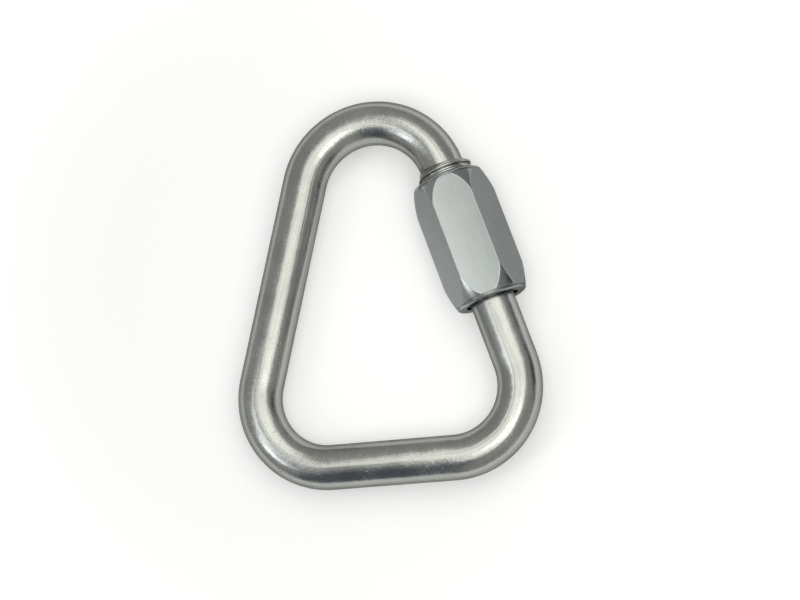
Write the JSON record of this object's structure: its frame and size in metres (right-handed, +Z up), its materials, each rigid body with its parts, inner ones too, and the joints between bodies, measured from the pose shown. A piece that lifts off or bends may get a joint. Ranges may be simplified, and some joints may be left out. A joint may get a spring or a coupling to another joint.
{
  "type": "delta chain quick link",
  "caption": "Triangular quick link of bent round bar with a gap in one leg, closed by a long hexagonal sleeve nut that screws down the leg to open it.",
  "frame": {"origin": "centre of the bounding box, on the ground that the link lies on", "axes": "+X along the base bar towards the nut's leg, +Y from the base bar towards the bow, +Z up from the ground"},
  "size_m": [0.0686, 0.0868, 0.016],
  "materials": {
    "bar_zinc": "bright zinc plating over drawn round bar, with fine drawing lines along its length",
    "nut_zinc": "satin zinc plating over drawn hexagon bar"
  },
  "bodies": {
    "link": {"link_body": "bar_zinc"},
    "nut": {"sleeve_nut": "nut_zinc"}
  },
  "joints": [
    {"name": "nut_travel", "type": "slide", "parent": "link", "child": "nut", "axis": [0.2766, -0.961, 0], "range_m": [0, 0.015]}
  ]
}
